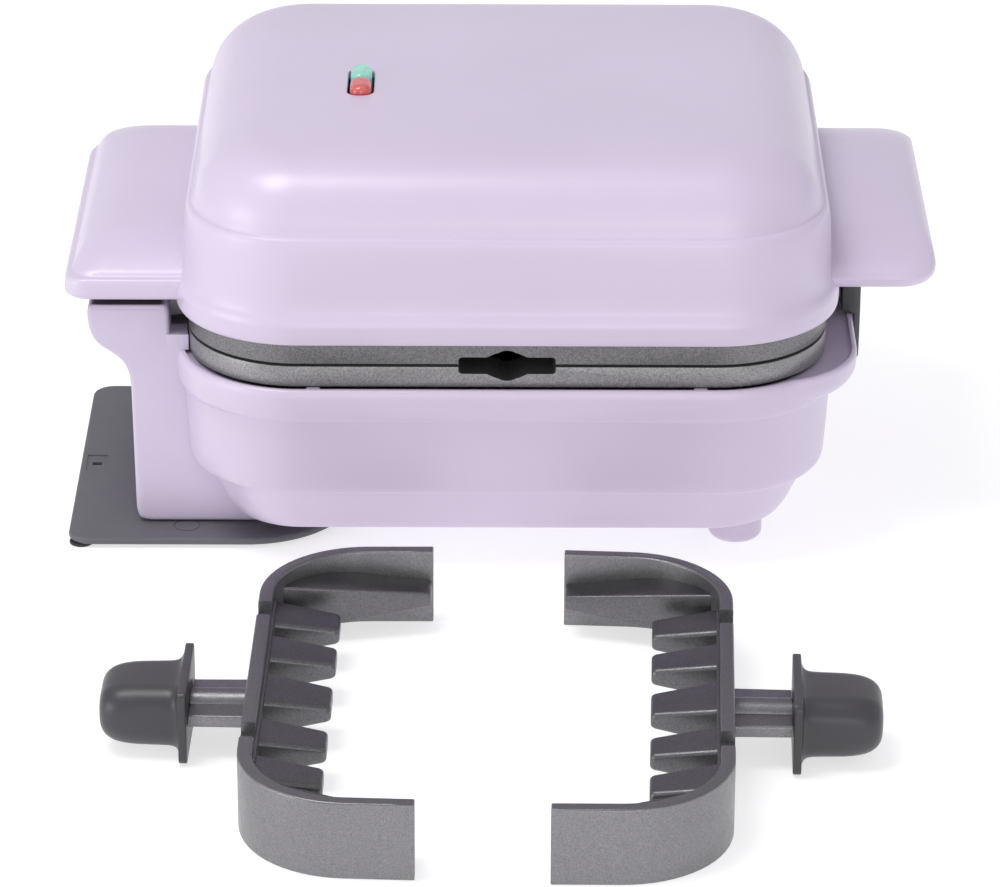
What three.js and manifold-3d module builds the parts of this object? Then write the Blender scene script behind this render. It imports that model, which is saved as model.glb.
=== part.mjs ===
// Donut maker with two loose core inserts: a clamshell contact cooker, modelled in
// millimetres with +Z up, standing on z = 0. Its front is -Y, its hinge -X, its handle +X.
import * as THREE from 'three';
import { mergeVertices } from 'three/addons/utils/BufferGeometryUtils.js';
import Module from 'manifold-3d';

const wasm = await Module();
wasm.setup();

// ---------------------------------------------------------------- driving dimensions
// Every level of the case is a rounded rectangle about the same four corner centres.
const CORNER_X = 84;
const CORNER_Y = 70;
const WALL = 2.5;
const GAP = 0.3;

// The machine's own heights are measured from the plane where its two plates meet, and
// that plane stands this far above the table.
const PARTING_Z = 91.7;
const RIM_Z = -9.5;
const LID_BOTTOM_Z = 10;
const LID_TOP_Z = 80.4;
const CASE_BOTTOM_Z = -81;

// Outer profile of the lower case: [corner radius, height], from the bottom up.
const TUB_PROFILE = [
  [22, CASE_BOTTOM_Z], [28, -80.2], [31.5, -76.4], [34.8, -70], [38.4, -62], [40.6, -57.8], [45, -56.4],
  [46.5, -53.8], [48.3, -24], [49.3, -22.8], [50.6, -20], [51, -13], [50.3, -10.2], [49.4, RIM_Z],
];
const TUB_HOLLOW = [
  [20, -78.4], [24, -77.6], [28.4, -74], [32, -68.5], [35.8, -60], [38, -55],
  [43.2, -52.6], [44.2, -50], [45.8, -25], [45.2, -15], [44, -11.1], [48.4, -10.9], [48.4, -7],
];
// Outer profile of the lid: a band round the bottom edge, a sloping skirt, a ledge, a dome.
const LID_PROFILE = [
  [50, LID_BOTTOM_Z], [50.7, 11], [51, 13], [51, 17.5], [50.4, 20], [48.6, 23],
  [47.9, 28], [46.6, 48], [45.9, 52], [44.8, 53.6], [43.8, 53.9], [43.3, 54.8],
  [42.2, 59.6], [39.7, 65.6], [36, 70.7], [31.2, 74.9], [25.2, 78], [18.6, 79.8], [12, LID_TOP_Z],
];
const LID_HOLLOW = [
  [48.4, 8], [48.4, 18], [45.4, 24], [44.1, 47], [41.2, 53.2], [39.6, 59.2],
  [33.8, 68.2], [24, 75.2], [12, 77.8],
];

// Cooking plates and the keyed hole that each pair of rims shares, front and back.
const PLATE_RADIUS = 46;
const PLATE_THICK = 9.3;
const PARTING_GAP = 0.4;
const BULGE_DEPTH = 20;
const CAVITY_X = 108;
const CAVITY_Y = 96;
const CAVITY_DEPTH = 18;
const KEY_SLOT_WIDTH = 39;
const KEY_SLOT_HEIGHT = 6.8;
const KEY_BORE_RADIUS = 6.6;
// Middle and half width of each cup in a row; the insert fins follow the same places.
const CUP_PLACES = [[-65, 13.8], [-34.5, 13.8], [0, 16.5], [34.5, 13.8], [65, 13.8]];
const CUP_RIM_Z = -8;

// Hinge: the upper plate's two cast lugs turn on a pin in the head of the column.
const PIN_X = -160;
const PIN_Z = 3;
const PIN_RADIUS = 3.2;
const HUB_RADIUS = 6.5;
const LUG_Y = 55;
const LUG_WIDTH = 22;
const COLUMN_HALF_DEPTH = 79;

// Middle of the footprint of the machine and its inserts: the origin of the whole set.
const FOOTPRINT_MIDDLE = { x: -3.05, y: -126.9 };

// Latch: a wide lever on a pin under the handle, outside the lip of the lower case.
const LATCH_X = 142;
const LATCH_Z = 14.5;
const LATCH_HALF_WIDTH = 40;
const LATCH_PIN_RADIUS = 1.6;

// Stand plate under the hinge side, in heights above the table, with its screws and the
// two round feet on the handle side.
const STAND = {
  left: -180.5, right: -65, front: -95, back: 61, bottom: 1.5, top: 4.5, corner: 9, sweep: 42,
};
const STAND_SCREW_X = -144.5;
const STAND_SCREW_Y = [-70, 0, 45];
const FOOT_AT = [[94.5, -80], [94.5, 80]];

// Core inserts: a C-shaped casting with five fins, a keyed stem and a knob.
const CORE = {
  length: 214, reach: 66.6, height: 31.2, wall: 5.4, radius: 42, splay: 1.6,
  finReach: 26, stem: 22, slotAt: 50.5, slotWidth: 11.4, slotDepth: 4.6, ledgeAt: 77.6, ledgeTip: 91,
};
// Middle of each fin along the insert, its width at the wall and its width at the tip.
const FINS = [[-64, 20.5, 15], [-34.5, 20.5, 15], [0, 25, 18], [34.5, 20.5, 15], [64, 20.5, 15]];

const LAVENDER = 0xd9cbe6;
const DARK_GREY = 0x58565c;
const CAST_GREY = 0x76747a;
const STEEL = 0xb9babd;
const RUBBER_BLACK = 0x2c2b2e;

// ---------------------------------------------------------------- solids and shapes
function solid(geometry) {
  const bare = geometry.clone();
  bare.deleteAttribute('normal');
  bare.deleteAttribute('uv');
  const merged = mergeVertices(bare, 1e-4);
  const index = merged.index.array;
  const position = merged.attributes.position;
  const corner = (i) => new THREE.Vector3().fromBufferAttribute(position, i);
  const triangles = [];
  let volume = 0;
  for (let i = 0; i < index.length; i += 3) {
    const [a, b, c] = [index[i], index[i + 1], index[i + 2]];
    if (a === b || b === c || c === a) continue;
    triangles.push(a, b, c);
    volume += corner(a).dot(corner(b).cross(corner(c)));
  }
  if (volume < 0) triangles.reverse();
  return new wasm.Manifold(new wasm.Mesh({
    numProp: 3,
    vertProperties: new Float32Array(position.array),
    triVerts: new Uint32Array(triangles),
  }));
}

function geometryOf(manifold) {
  const mesh = manifold.getMesh();
  const geometry = new THREE.BufferGeometry();
  geometry.setAttribute('position', new THREE.BufferAttribute(mesh.vertProperties, 3));
  geometry.setIndex(new THREE.BufferAttribute(mesh.triVerts, 1));
  geometry.computeVertexNormals();
  return geometry;
}

const join = (solids) => solids.reduce((whole, next) => whole.add(next));
const cut = (body, tools) => tools.reduce((rest, tool) => rest.subtract(tool), body);

function box(x0, x1, y0, y1, z0, z1) {
  const geometry = new THREE.BoxGeometry(x1 - x0, y1 - y0, z1 - z0);
  geometry.translate((x0 + x1) / 2, (y0 + y1) / 2, (z0 + z1) / 2);
  return solid(geometry);
}

// Cylinder about an axis: 'x', 'y' or 'z', from one place along it to another.
function rod(axis, radius, from, to, [u, v], sides = 20, endRadius = radius) {
  const geometry = new THREE.CylinderGeometry(endRadius, radius, to - from, sides);
  geometry.translate(0, (from + to) / 2, 0);
  if (axis === 'x') geometry.rotateZ(-Math.PI / 2).translate(0, u, v);
  if (axis === 'y') geometry.translate(u, 0, v);
  if (axis === 'z') geometry.rotateX(Math.PI / 2).translate(u, v, 0);
  return solid(geometry);
}

// Closed ring of points: a rectangle with round corners of the given radius.
function ring(x0, x1, y0, y1, radius, steps = 5) {
  const centres = [[x1, y1], [x0, y1], [x0, y0], [x1, y0]];
  return centres.flatMap(([x, y], quarter) => {
    const cx = x - Math.sign(x - (x0 + x1) / 2) * radius;
    const cy = y - Math.sign(y - (y0 + y1) / 2) * radius;
    return Array.from({ length: steps + 1 }, (_, i) => {
      const angle = (quarter + i / steps) * Math.PI / 2;
      return new THREE.Vector2(cx + radius * Math.cos(angle), cy + radius * Math.sin(angle));
    });
  });
}

const caseRing = (radius, steps) =>
  ring(-CORNER_X - radius, CORNER_X + radius, -CORNER_Y - radius, CORNER_Y + radius, radius, steps);

// Skin through a stack of rings with the same number of points, closed at both ends.
function loft(levels) {
  const count = levels[0].points.length;
  const positions = levels.flatMap(({ points, z }) => points.flatMap((p) => [p.x, p.y, z]));
  const index = [];
  for (let level = 0; level + 1 < levels.length; level += 1) {
    for (let i = 0; i < count; i += 1) {
      const a = level * count + i;
      const b = level * count + (i + 1) % count;
      index.push(a, b, b + count, a, b + count, a + count);
    }
  }
  const last = (levels.length - 1) * count;
  for (const [a, b, c] of THREE.ShapeUtils.triangulateShape(levels[0].points, [])) {
    index.push(a, c, b);
  }
  for (const [a, b, c] of THREE.ShapeUtils.triangulateShape(levels.at(-1).points, [])) {
    index.push(last + a, last + b, last + c);
  }
  const geometry = new THREE.BufferGeometry();
  geometry.setAttribute('position', new THREE.Float32BufferAttribute(positions, 3));
  geometry.setIndex(index);
  return solid(geometry);
}

const caseLoft = (profile) => loft(profile.map(([radius, z]) => ({ points: caseRing(radius), z })));
const slab = (points, z0, z1) => loft([{ points, z: z0 }, { points, z: z1 }]);

// Outline in the XZ plane, [x, z] corners, drawn out along Y.
function alongY(outline, y0, y1) {
  const shape = new THREE.Shape(outline.map(([x, z]) => new THREE.Vector2(x, z)));
  const geometry = new THREE.ExtrudeGeometry(shape, { depth: y1 - y0, bevelEnabled: false });
  geometry.rotateX(Math.PI / 2).translate(0, y1, 0);
  return solid(geometry);
}

// Round bar bent along a curve.
function bentRod(points, radius, steps) {
  const section = new THREE.Shape();
  section.absarc(0, 0, radius, 0, Math.PI * 2);
  const path = new THREE.CatmullRomCurve3(points.map((p) => new THREE.Vector3(...p)));
  const geometry = new THREE.ExtrudeGeometry(section, {
    steps, curveSegments: 4, bevelEnabled: false, extrudePath: path,
  });
  return solid(geometry);
}

const mirrored = (values) => [1, -1].flatMap((sign) => values.map((value) => sign * value));

// ---------------------------------------------------------------- lower case and column
// Lip on the handle side: a hollow bulge of the rim that the latch closes over.
function lipLevels(inset, levels) {
  return levels.map(([z, taper]) => {
    const by = inset + taper;
    return { points: ring(20, 143.2 - by, -111 + by, 111 - by, 38 - by), z };
  });
}

// Side outline of the hinge column, wide at its head, with a foot that runs under the case.
const COLUMN = [
  [-168.8, 10.5], [-170.8, 8.5], [-170.6, 2], [-169.4, -3.5], [-166.5, -7.8],
  [-161.5, -11], [-157.4, -14.2], [-154.9, -18.4], [-153.7, -24.6], [-152.8, -83.7], [-150, -86.7],
  [-97, -86.7], [-97, -79.8], [-106, -77], [-118.5, -62], [-126, -54], [-129, -24], [-129.3, -10.2],
  [-130.6, -9.8], [-130.7, -3.4], [-131.3, -2.8], [-136.6, -2.6], [-137.2, -1.6], [-137.6, 8.5],
  [-139.6, 10.4],
];
const COLUMN_HOLLOW = [
  [-168.2, 7.8], [-168, 2], [-166.8, -2.2], [-164.5, -5.4], [-160, -8.6], [-155, -12.6],
  [-152.5, -17], [-151.2, -25], [-150.3, -88], [-138, -88], [-138, -6], [-140.8, 7.8],
];

const FOOT_Z = -PARTING_Z;
const GLAND_AT = [-145, -68];
function lowerHousing() {
  const outer = caseLoft(TUB_PROFILE);
  const lip = loft(lipLevels(0, [[-23.5, 11], [-22, 6], [-19, 2], [-15, 0.4], [-10.7, 0.2], [RIM_Z, 1]]));
  const column = alongY(COLUMN, -COLUMN_HALF_DEPTH, COLUMN_HALF_DEPTH);
  const feet = FOOT_AT.map(([x, y]) => join([
    rod('z', 11, FOOT_Z + 3.5, -74, [x, y], 20),
    rod('z', 7.6, FOOT_Z + 0.5, FOOT_Z + 3.5, [x, y], 20, 11),
  ]));
  const posts = mirrored([112]).flatMap((x) =>
    mirrored([98]).map((y) => rod('z', 4.5, -54, RIM_Z - GAP, [x, y], 8)));
  const tabs = [-77.7, 77.7, -77.7, 77.7].map((x, i) => {
    const side = i < 2 ? -1 : 1;
    const [y0, y1] = [side * 119, side * 115].sort((a, b) => a - b);
    return box(x - 2.8, x + 2.8, y0, y1, -14, RIM_Z - GAP);
  });
  const hollow = [
    caseLoft(TUB_HOLLOW),
    loft(lipLevels(2.2, [[-10.9, 1], [-10.3, 0.3], [-8, 0]])),
  ];
  const columnHollow = alongY(COLUMN_HOLLOW, -COLUMN_HALF_DEPTH + WALL, COLUMN_HALF_DEPTH - WALL);
  const lugSlots = mirrored([LUG_Y]).map((y) =>
    box(-168.2, -128, y - LUG_WIDTH / 2 - 1.5, y + LUG_WIDTH / 2 + 1.5, -5, 14));
  const openings = [
    slab(ring(-88, 88, -74, 74, 14), -86, -75),
    box(-142, -124, -8, 8, -50, -34),
    rod('y', 7.3, COLUMN_HALF_DEPTH - 6, COLUMN_HALF_DEPTH + 4, GLAND_AT, 20),
    ...FOOT_AT.map(([x, y]) => rod('z', 6.6, FOOT_Z, FOOT_Z + 1.6, [x, y], 20)),
  ];
  const shell = cut(join([outer, lip, ...feet]), hollow);
  const whole = join([shell, cut(column, [caseLoft(TUB_HOLLOW)]), ...posts, ...tabs]);
  return cut(whole, [columnHollow, ...lugSlots, ...openings]);
}

// Steel bracket inside the column head: four cheeks on one base strip carry the hinge pin.
function hingeBracket() {
  const cheek = [
    [-150.5, -20], [-142, -20], [-142, -6], [-152, 7], [-166, 7],
    [-166.6, 0], [-163, -4.4], [-157, -9], [-152, -14],
  ];
  const strip = [[-150.5, -28], [-142, -28], [-142, -18], [-150.5, -18]];
  const cheeks = mirrored([38, 72]).map((y) => alongY(cheek, y - 2, y + 2));
  const bore = rod('y', PIN_RADIUS + GAP, -80, 80, [PIN_X, PIN_Z], 24);
  return cut(join([alongY(strip, -74, 74), ...cheeks]), [bore]);
}

// Flat plate with a wide sweep to its front right corner and a notch in its left edge.
function standPlate() {
  const { left, right, front, back, bottom, top, corner, sweep } = STAND;
  const blank = slab(ring(left, right, front, back, corner), bottom, top);
  const offcut = cut(box(right - sweep, right + 1, front - 1, front + sweep, -1, top + 1), [
    rod('z', sweep, -2, top + 2, [right - sweep, front + sweep], 48),
  ]);
  return cut(blank, [
    offcut,
    box(-178, -169.5, -29, -12.5, top - 0.8, top + 1),
    ...STAND_SCREW_Y.map((y) => rod('z', 2.4, 0, top + 1, [STAND_SCREW_X, y], 12)),
  ]);
}

// ---------------------------------------------------------------- cooking plates
// One plate with its face up at z = 0: rim slab, deep bulge, ten cups, keyed half holes.
function plate() {
  const rim = slab(caseRing(PLATE_RADIUS, 6), -PLATE_THICK, 0);
  const grow = 4;
  const bulge = slab(
    ring(-CAVITY_X - grow, CAVITY_X + grow, -CAVITY_Y - grow, CAVITY_Y + grow, 30),
    -BULGE_DEPTH - 1.5,
    -PLATE_THICK / 2,
  );
  const cavity = slab(ring(-CAVITY_X, CAVITY_X, -CAVITY_Y, CAVITY_Y, 26), -CAVITY_DEPTH, 4);
  const floor = -CAVITY_DEPTH - 0.5;
  const block = slab(ring(-82, 82, -87, 87, 8, 3), floor, CUP_RIM_Z);
  const cups = [];
  for (const [x, half] of CUP_PLACES) {
    for (const side of [-1, 1]) {
      const [y0, y1] = [side * 4, side * 94].sort((a, b) => a - b);
      const mouth = { points: ring(x - half, x + half, y0, y1, 11, 2), z: CUP_RIM_Z + 3 };
      const base = { points: ring(x - half + 3, x + half - 3, y0 + 4, y1 - 4, 8, 2), z: -CAVITY_DEPTH };
      cups.push(loft([base, mouth]));
    }
  }
  const key = [
    box(-KEY_SLOT_WIDTH / 2, KEY_SLOT_WIDTH / 2, -130, 130, -KEY_SLOT_HEIGHT / 2, 4),
    rod('y', KEY_BORE_RADIUS, -130, 130, [0, 0], 24),
  ];
  return cut(cut(join([rim, bulge]), [cavity]).add(cut(block, cups)), key);
}

const lowerPlate = () => plate().translate([0, 0, -PARTING_GAP / 2]);

function upperPlate() {
  const casting = plate().rotate([180, 0, 0]).translate([0, 0, PARTING_GAP / 2]);
  const arm = [[PIN_X, -3.2], [-129, 1], [-129, 8.6], [PIN_X, 9.2]];
  const lugs = mirrored([LUG_Y]).map((y) => {
    const [y0, y1] = [y - LUG_WIDTH / 2, y + LUG_WIDTH / 2];
    const hub = rod('y', HUB_RADIUS, y0, y1, [PIN_X, PIN_Z], 24);
    const bore = rod('y', PIN_RADIUS + 0.35, y0 - 1, y1 + 1, [PIN_X, PIN_Z], 24);
    return cut(join([hub, alongY(arm, y0, y1)]), [bore]);
  });
  return join([casting, ...lugs]);
}

// ---------------------------------------------------------------- heating parts
// Hairpin element whose two tails end side by side towards the hinge.
function element(z) {
  const half = [[-110, 12], [-100, 14], [-94, 34], [-84, 64], [0, 66], [84, 62]];
  const path = [...half, [98, 0], ...half.toReversed().map(([x, y]) => [x, -y])];
  return bentRod(path.map(([x, y]) => [x, y, z]), 3.2, 36);
}

// Thin steel pan behind an element; the open side faces the plate.
function reflector(z0, z1, open) {
  const outer = ring(-116, 116, -103, 103, 32);
  const inner = ring(-115, 115, -102, 102, 31);
  const [i0, i1] = open > 0 ? [z0 + 1, z1 + 2] : [z0 - 2, z1 - 1];
  return cut(slab(outer, z0, z1), [slab(inner, i0, i1)]);
}

// ---------------------------------------------------------------- lid
// Cover over the hinge: a flange round its lower edge and a top that slopes to the front.
// Each level is [height, inset at the left, at the front, at the back, corner radius].
const EAR_LEVELS = [
  [13.5, 1.4, 1.4, 1.4, 9], [14.5, 0.3, 0.3, 0.3, 9.5], [16, 0, 0, 0, 9.5],
  [20.6, 0.3, 0.3, 0.3, 9.5], [22, 1.2, 1.2, 1.2, 9], [22.8, 3.2, 3, 3, 9],
  [24.2, 3.9, 4.4, 3.4, 10], [26.4, 5.3, 8, 4.3, 11.5], [28.8, 7.4, 12.6, 7, 13],
  [31, 10.4, 17.8, 11.4, 15], [33, 14.6, 23.4, 17, 17], [34.3, 19, 28.4, 23.6, 18],
  [35, 24, 34, 30, 19],
];
const EAR_HOLLOW = [
  [10, 2.4, 2.4, 2.4, 7], [21.4, 2.6, 2.6, 2.6, 7], [22.8, 6.4, 7.5, 6, 8],
  [26, 9, 14, 8, 10], [30.4, 20, 32, 22, 13],
];
// The corner of the cover at the back of the hinge side is rounder than the front one.
const earLoft = (levels, inset = 0) => loft(levels.map(([z, left, front, back, r]) => (
  { points: ring(-180 + left, -100, -82.3 + front, 82.3 - back, r), z })))
  .intersect(slab(ring(-180.4 + inset, 60, -200, 82.7 - inset, 21 - inset, 8), 0, 60));

// Handle: a broad closed grip, flat on top and falling away to front and back.
const HANDLE_LEVELS = [
  [18.6, 4.2, 4.2, 13], [19.5, 1.9, 1.9, 14], [21.6, 0.4, 0.4, 15], [23.4, 0.1, 0, 15],
  [25.2, 0, 0.9, 15], [26.8, 0.3, 2.4, 15], [28.6, 0.8, 5.3, 15], [31.4, 2.4, 13, 15],
  [33.8, 4.8, 22.5, 15], [35.6, 8, 33, 15],
  [36.6, 13, 46, 15],
];
const HANDLE_HOLLOW = [
  [15, 3, 3, 11], [25, 3, 4.4, 11], [28.4, 5, 12, 11], [33.4, 13, 44, 11],
];
const handleLoft = (levels) => loft(levels.map(([z, dx, dy, r]) => (
  { points: ring(100, 174.4 - dx, -81.5 + dy, 81.5 - dy, r), z })));

// Two indicator lenses side by side in one slot.
const LENS_X = -60.5;
const LENSES = [
  { name: 'green_lens', y: -1.4, color: 0x7fc4b4 },
  { name: 'red_lens', y: -17, color: 0xb04446 },
];
const lensRing = (y, inset) =>
  ring(LENS_X - 4.4 + inset, LENS_X + 4.4 - inset, y - 7.4 + inset, y + 7.4 - inset, 4.4 - inset);

function lidShell() {
  const skirt = caseLoft(LID_PROFILE);
  const inside = caseLoft(LID_HOLLOW);
  const outer = join([skirt, earLoft(EAR_LEVELS), handleLoft(HANDLE_LEVELS)]);
  const dome = box(-132, 132, -130, 130, 0, 90);
  const earRoom = cut(earLoft(EAR_HOLLOW, 2.4), [box(-131.8, 0, -130, 130, 0, 90)]);
  const gripRoom = cut(handleLoft(HANDLE_HOLLOW), [box(0, 135.5, -130, 130, 0, 90)]);
  const lensSlot = slab(ring(LENS_X - 5.5, LENS_X + 5.5, -25, 6.6, 5), LID_TOP_Z - 8, LID_TOP_Z + 4);
  return cut(outer, [inside.intersect(dome), earRoom, gripRoom, lensSlot]);
}

const HANDLE_FLOOR_Z = 19.4;
function handleUnderside() {
  const floor = slab(ring(138.8, 170, -77, 77, 9), HANDLE_FLOOR_Z, HANDLE_FLOOR_Z + 2);
  const ears = mirrored([LATCH_HALF_WIDTH + 2.4]).map((y) => join([
    box(LATCH_X - 3.4, LATCH_X + 3.4, y - 1.6, y + 1.6, LATCH_Z, HANDLE_FLOOR_Z + 0.6),
    rod('y', 3.4, y - 1.6, y + 1.6, [LATCH_X, LATCH_Z], 20),
  ]));
  const bore = rod('y', LATCH_PIN_RADIUS + GAP, -60, 60, [LATCH_X, LATCH_Z], 16);
  return cut(join([floor, ...ears]), [bore]);
}

function latchLever() {
  const profile = [
    [138.6, 11], [138.6, -7.6], [139.4, -8.6], [143.8, -8.6], [143.9, -28.2], [144.5, -29], [145.6, -29],
    [146.2, -28.2], [146.4, -8], [146.4, 14.5], [144.5, 17.4], [139.8, 17.4], [138.6, 14.5],
  ];
  const body = alongY(profile, -LATCH_HALF_WIDTH, LATCH_HALF_WIDTH);
  const window = box(130, 142.6, -LATCH_HALF_WIDTH + 8, LATCH_HALF_WIDTH - 8, -10, 9);
  const bore = rod('y', LATCH_PIN_RADIUS + GAP, -60, 60, [LATCH_X, LATCH_Z], 16);
  return cut(body, [window, bore]);
}

// ---------------------------------------------------------------- core inserts
// Half outline of the C: along the wall, round the corner and out along a splayed arm.
function coreHalf(inset, reach, steps = 6) {
  const { length, radius, splay } = CORE;
  const lean = THREE.MathUtils.degToRad(splay);
  const r = radius - inset;
  const corner = Array.from({ length: steps + 1 }, (_, i) => {
    const angle = Math.PI - (Math.PI / 2 - lean) * (i / steps);
    return [radius + r * Math.cos(angle), length / 2 - radius + r * Math.sin(angle)];
  });
  const [u, v] = corner.at(-1);
  return [...corner, [reach, v + (reach - u) * Math.tan(lean)]];
}

// Closed plan outline between two offsets of the C.
function coreBand(outerInset, innerInset, reach) {
  const across = (points) => points.map(([u, v]) => [u, -v]);
  const outer = coreHalf(outerInset, reach);
  const inner = coreHalf(innerInset, reach);
  const outline = [...outer.toReversed(), ...across(outer), ...across(inner).reverse(), ...inner];
  return outline.map(([u, v]) => new THREE.Vector2(u, v));
}

function coreCasting() {
  const { height, wall, reach, stem, slotAt, slotWidth, slotDepth, finReach, ledgeAt, ledgeTip } = CORE;
  const mid = height / 2;
  const walls = slab(coreBand(0, wall, reach), 0, height);
  const thick = box(wall - 0.5, wall + 1.1, -66, 66, 3, height - 4.5);
  const inside = coreHalf(wall - 0.5, reach - 0.6);
  const filled = [...inside.toReversed(), ...inside.map(([u, v]) => [u, -v])];
  const wedge = alongY([[0, mid - 11.4], [reach, mid - 2.7], [reach, mid + 2.7], [0, mid + 11.4]], -140, 140);
  const bay = [[-10, ledgeAt], [-10, -ledgeAt], [0, -ledgeAt], [reach, -ledgeTip], [reach + 9, -ledgeTip],
    [reach + 9, ledgeTip], [reach, ledgeTip], [0, ledgeAt]];
  const ledges = slab(filled.map(([u, v]) => new THREE.Vector2(u, v)), 0, height)
    .intersect(wedge).subtract(slab(bay.map(([u, v]) => new THREE.Vector2(u, v)), -10, height + 10));
  const fins = FINS.map(([v, rootWidth, tipWidth]) => {
    const blade = (w, h, bevel) => ring(-w / 2, w / 2, -h / 2, h / 2, bevel, 2);
    const finWedge = loft([
      { points: blade(rootWidth, 14.4, 2), z: wall + 1 },
      { points: blade(tipWidth + 0.4, 7, 2), z: wall + finReach - 1.2 },
      { points: blade(tipWidth - 2.2, 4.6, 1.4), z: wall + finReach },
    ]);
    return finWedge.rotate([90, 0, 90]).translate([0, v, mid]);
  });
  const key = loft([
    { points: ring(-15.5, 15.5, -2.5, 2.5, 1, 2), z: -stem },
    { points: ring(-15.9, 15.9, -2.5, 2.5, 1, 2), z: 0.5 },
  ]).rotate([90, 0, 90]).translate([0, 0, mid]);
  const bar = rod('x', 6, -stem, 1, [0, mid], 20);
  const slots = mirrored([slotAt]).flatMap((v) => [
    box(-4, wall + 6, v - slotWidth / 2, v + slotWidth / 2, height - slotDepth, height + 4),
    box(-4, wall + 6, v - slotWidth / 2, v + slotWidth / 2, -4, slotDepth),
  ]);
  const screwHole = rod('x', 2.4, -stem - 2, wall + finReach + 4, [0, mid], 12);
  return cut(join([walls, thick, ledges, ...fins, key, bar]), [...slots, screwHole]);
}

function coreKnob() {
  const { height, stem } = CORE;
  const face = (w, h, r) => ring(-w / 2, w / 2, -h / 2, h / 2, r, 4);
  const levels = [
    [face(46, 30, 3), stem + GAP], [face(46, 30, 3), stem + 3.6], [face(39, 27.6, 6), stem + 4.1],
    [face(36.6, 25.8, 8.4), stem + 5.4], [face(35.6, 25, 9), stem + 8], [face(35.4, 24.6, 9.4), stem + 20],
    [face(34.4, 23.6, 9.6), stem + 26], [face(32, 21.2, 9), stem + 30], [face(27.6, 17, 7.8), stem + 32.8],
    [face(20, 10.4, 5), stem + 34.4],
  ].map(([points, z]) => ({ points, z }));
  const grip = loft(levels).rotate([90, 0, -90]).translate([0, 0, height / 2]);
  const hole = rod('x', 2.6, -stem - 19, -stem + 4, [0, height / 2], 12);
  return cut(grip, [hole]);
}

function coreScrew() {
  const { height, stem, wall, finReach } = CORE;
  return rod('x', 1.9, -stem - 17, wall + finReach - 6, [0, height / 2], 12);
}

// Pose of each insert on the table in front of the machine.
const CORE_POSES = {
  left: { x: -97.7, y: -262.9, turn: -1.1, flip: false },
  right: { x: 86.1, y: -269.2, turn: -1.9, flip: true },
};
function placed(body, { x, y, turn, flip }) {
  const facing = flip ? body.rotate([0, 0, 180]) : body;
  return facing.rotate([0, 0, turn]).translate([x, y, 0]);
}

// ---------------------------------------------------------------- assembly
const donutMaker = new THREE.Group();
donutMaker.name = 'donut_maker';

function piece(name, body, color, roughness, metalness = 0) {
  const material = new THREE.MeshStandardMaterial({ color, roughness, metalness });
  const mesh = new THREE.Mesh(geometryOf(body), material);
  mesh.name = name;
  mesh.position.set(-FOOTPRINT_MIDDLE.x, -FOOTPRINT_MIDDLE.y, 0);
  donutMaker.add(mesh);
  return mesh;
}

// Pieces of the machine, raised so that its feet stand on the table.
function raised(...args) {
  piece(...args).position.z = PARTING_Z;
}

// Lower case and everything fixed to it.
const coverZ = CASE_BOTTOM_Z + 0.1;
raised('lower_housing', lowerHousing(), LAVENDER, 0.55);
raised('bottom_cover', slab(ring(-87.5, 87.5, -73.5, 73.5, 13.5), coverZ, coverZ + 2.2), LAVENDER, 0.6);
mirrored([80]).flatMap((x) => mirrored([66]).map((y) => [x, y])).forEach(([x, y], i) => {
  raised(`cover_screw_${i + 1}`, rod('z', 3, coverZ - 1.6, coverZ - GAP, [x, y], 12), STEEL, 0.4, 0.9);
});
raised('lower_plate', lowerPlate(), CAST_GREY, 0.5, 0.3);
raised('lower_element', element(-26.4), STEEL, 0.4, 0.9);
raised('lower_reflector', reflector(-36, -10, 1), STEEL, 0.3, 1);
raised('thermostat', join([
  rod('z', 12, -48, -36.3, [30, 0], 20),
  box(12, 48, -5, 5, -50, -47),
]), 0xd8d4c8, 0.6);
raised('thermal_fuse', rod('x', 3, -60, -20, [20, -39.6], 12), STEEL, 0.4, 0.8);
raised('terminal_block', box(-149, -139, -24, 24, -70, -56), 0xe8e4da, 0.6);
raised('cord_gland', rod('y', 6.8, COLUMN_HALF_DEPTH - 4, COLUMN_HALF_DEPTH + 1.6, GLAND_AT, 20)
  .subtract(rod('y', 3.4, 60, 90, GLAND_AT, 16)), RUBBER_BLACK, 0.7);
raised('hinge_bracket', hingeBracket(), STEEL, 0.4, 0.9);
raised('hinge_pin', rod('y', PIN_RADIUS, -75.5, 75.5, [PIN_X, PIN_Z], 24), STEEL, 0.3, 1);

// Stand plate, its screws and every rubber pad.
piece('stand_plate', standPlate(), DARK_GREY, 0.6);
STAND_SCREW_Y.forEach((y, i) => {
  piece(`stand_screw_${i + 1}`, rod('z', 2, STAND.bottom + GAP, 12, [STAND_SCREW_X, y], 12), STEEL, 0.4, 0.9);
});
[[-175, -89.5], [-174, 54.5], [-75, -48], [-75, 54.5]].forEach(([x, y], i) => {
  piece(`stand_pad_${i + 1}`, rod('z', 5, 0, STAND.bottom - GAP, [x, y], 16), RUBBER_BLACK, 0.9);
});
FOOT_AT.forEach(([x, y], i) => {
  piece(`foot_pad_${i + 1}`, rod('z', 6.2, 0, 1.3, [x, y], 20), RUBBER_BLACK, 0.9);
});

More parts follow.
